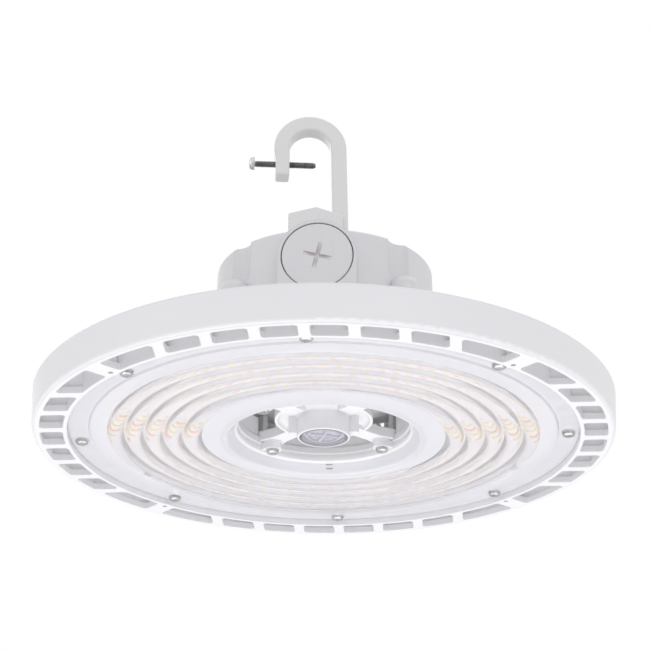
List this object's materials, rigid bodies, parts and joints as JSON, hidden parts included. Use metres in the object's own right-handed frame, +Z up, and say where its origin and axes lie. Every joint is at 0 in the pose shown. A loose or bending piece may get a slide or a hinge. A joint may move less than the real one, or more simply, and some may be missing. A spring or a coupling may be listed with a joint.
{
  "type": "high bay light",
  "caption": "Round hanging high bay light with a slotted, finned heat sink rim, a ringed clear lens, a central driver housing and a threaded J-hook.",
  "frame": {"origin": "centre of the rim's lowest plane, which is the lit face's outer edge", "axes": "+Z is up, from the lit face to the hook; -Y is the side of the housing with the round access plug"},
  "size_m": [0.3416, 0.3416, 0.2171],
  "materials": {
    "white_coat": "semi-gloss white powder coat over die-cast aluminium",
    "white_coat_sheet": "semi-gloss white powder coat over cast aluminium",
    "hook_coat": "light grey baked enamel over cast steel",
    "clear_lens": "clear polycarbonate, moulded with concentric ribs",
    "silicone_white": "off-white moulded silicone",
    "silicone_dark": "dark grey moulded silicone",
    "stainless": "stainless steel machine screws, plain",
    "board_white": "white solder mask on an aluminium-core board",
    "phosphor_warm": "orange phosphor silicone in a moulded LED package",
    "phosphor_cool": "yellow phosphor silicone in a moulded LED package",
    "connector_plastic": "ivory moulded nylon",
    "smoked_cap": "smoked clear polycarbonate",
    "insert_plastic": "grey moulded plastic, satin",
    "board_green": "green solder mask",
    "driver_case": "plain extruded aluminium case, satin",
    "lead_red": "grey insulated wire",
    "terminal_plastic": "natural white polyamide",
    "zinc_plate": "zinc-plated steel"
  },
  "bodies": {
    "root": {"heat_sink": "white_coat", "lens": "clear_lens", "lens_outer_gasket": "silicone_white", "lens_inner_gasket": "silicone_white", "outer_lens_screws": "stainless", "inner_lens_screws": "stainless", "led_board": "board_white", "warm_leds": "phosphor_warm", "cool_leds": "phosphor_cool", "board_connector": "connector_plastic", "board_screws": "stainless", "sensor_cap": "smoked_cap", "sensor_insert": "insert_plastic", "sensor_gasket": "silicone_white", "sensor_board": "board_green", "driver_tray": "white_coat_sheet", "tray_screws": "zinc_plate", "lead_grommet": "silicone_dark", "led_leads": "lead_red", "led_driver": "driver_case", "driver_screws": "zinc_plate", "terminal_block": "terminal_plastic", "driver_cover": "white_coat_sheet", "cover_gasket": "silicone_dark", "cover_screws": "zinc_plate", "access_plug": "white_coat_sheet", "plug_o_ring": "silicone_dark", "hook": "hook_coat", "keeper_screw": "stainless", "hook_gasket": "silicone_dark", "hook_locknut": "zinc_plate", "hook_set_screw": "zinc_plate"}
  },
  "joints": []
}
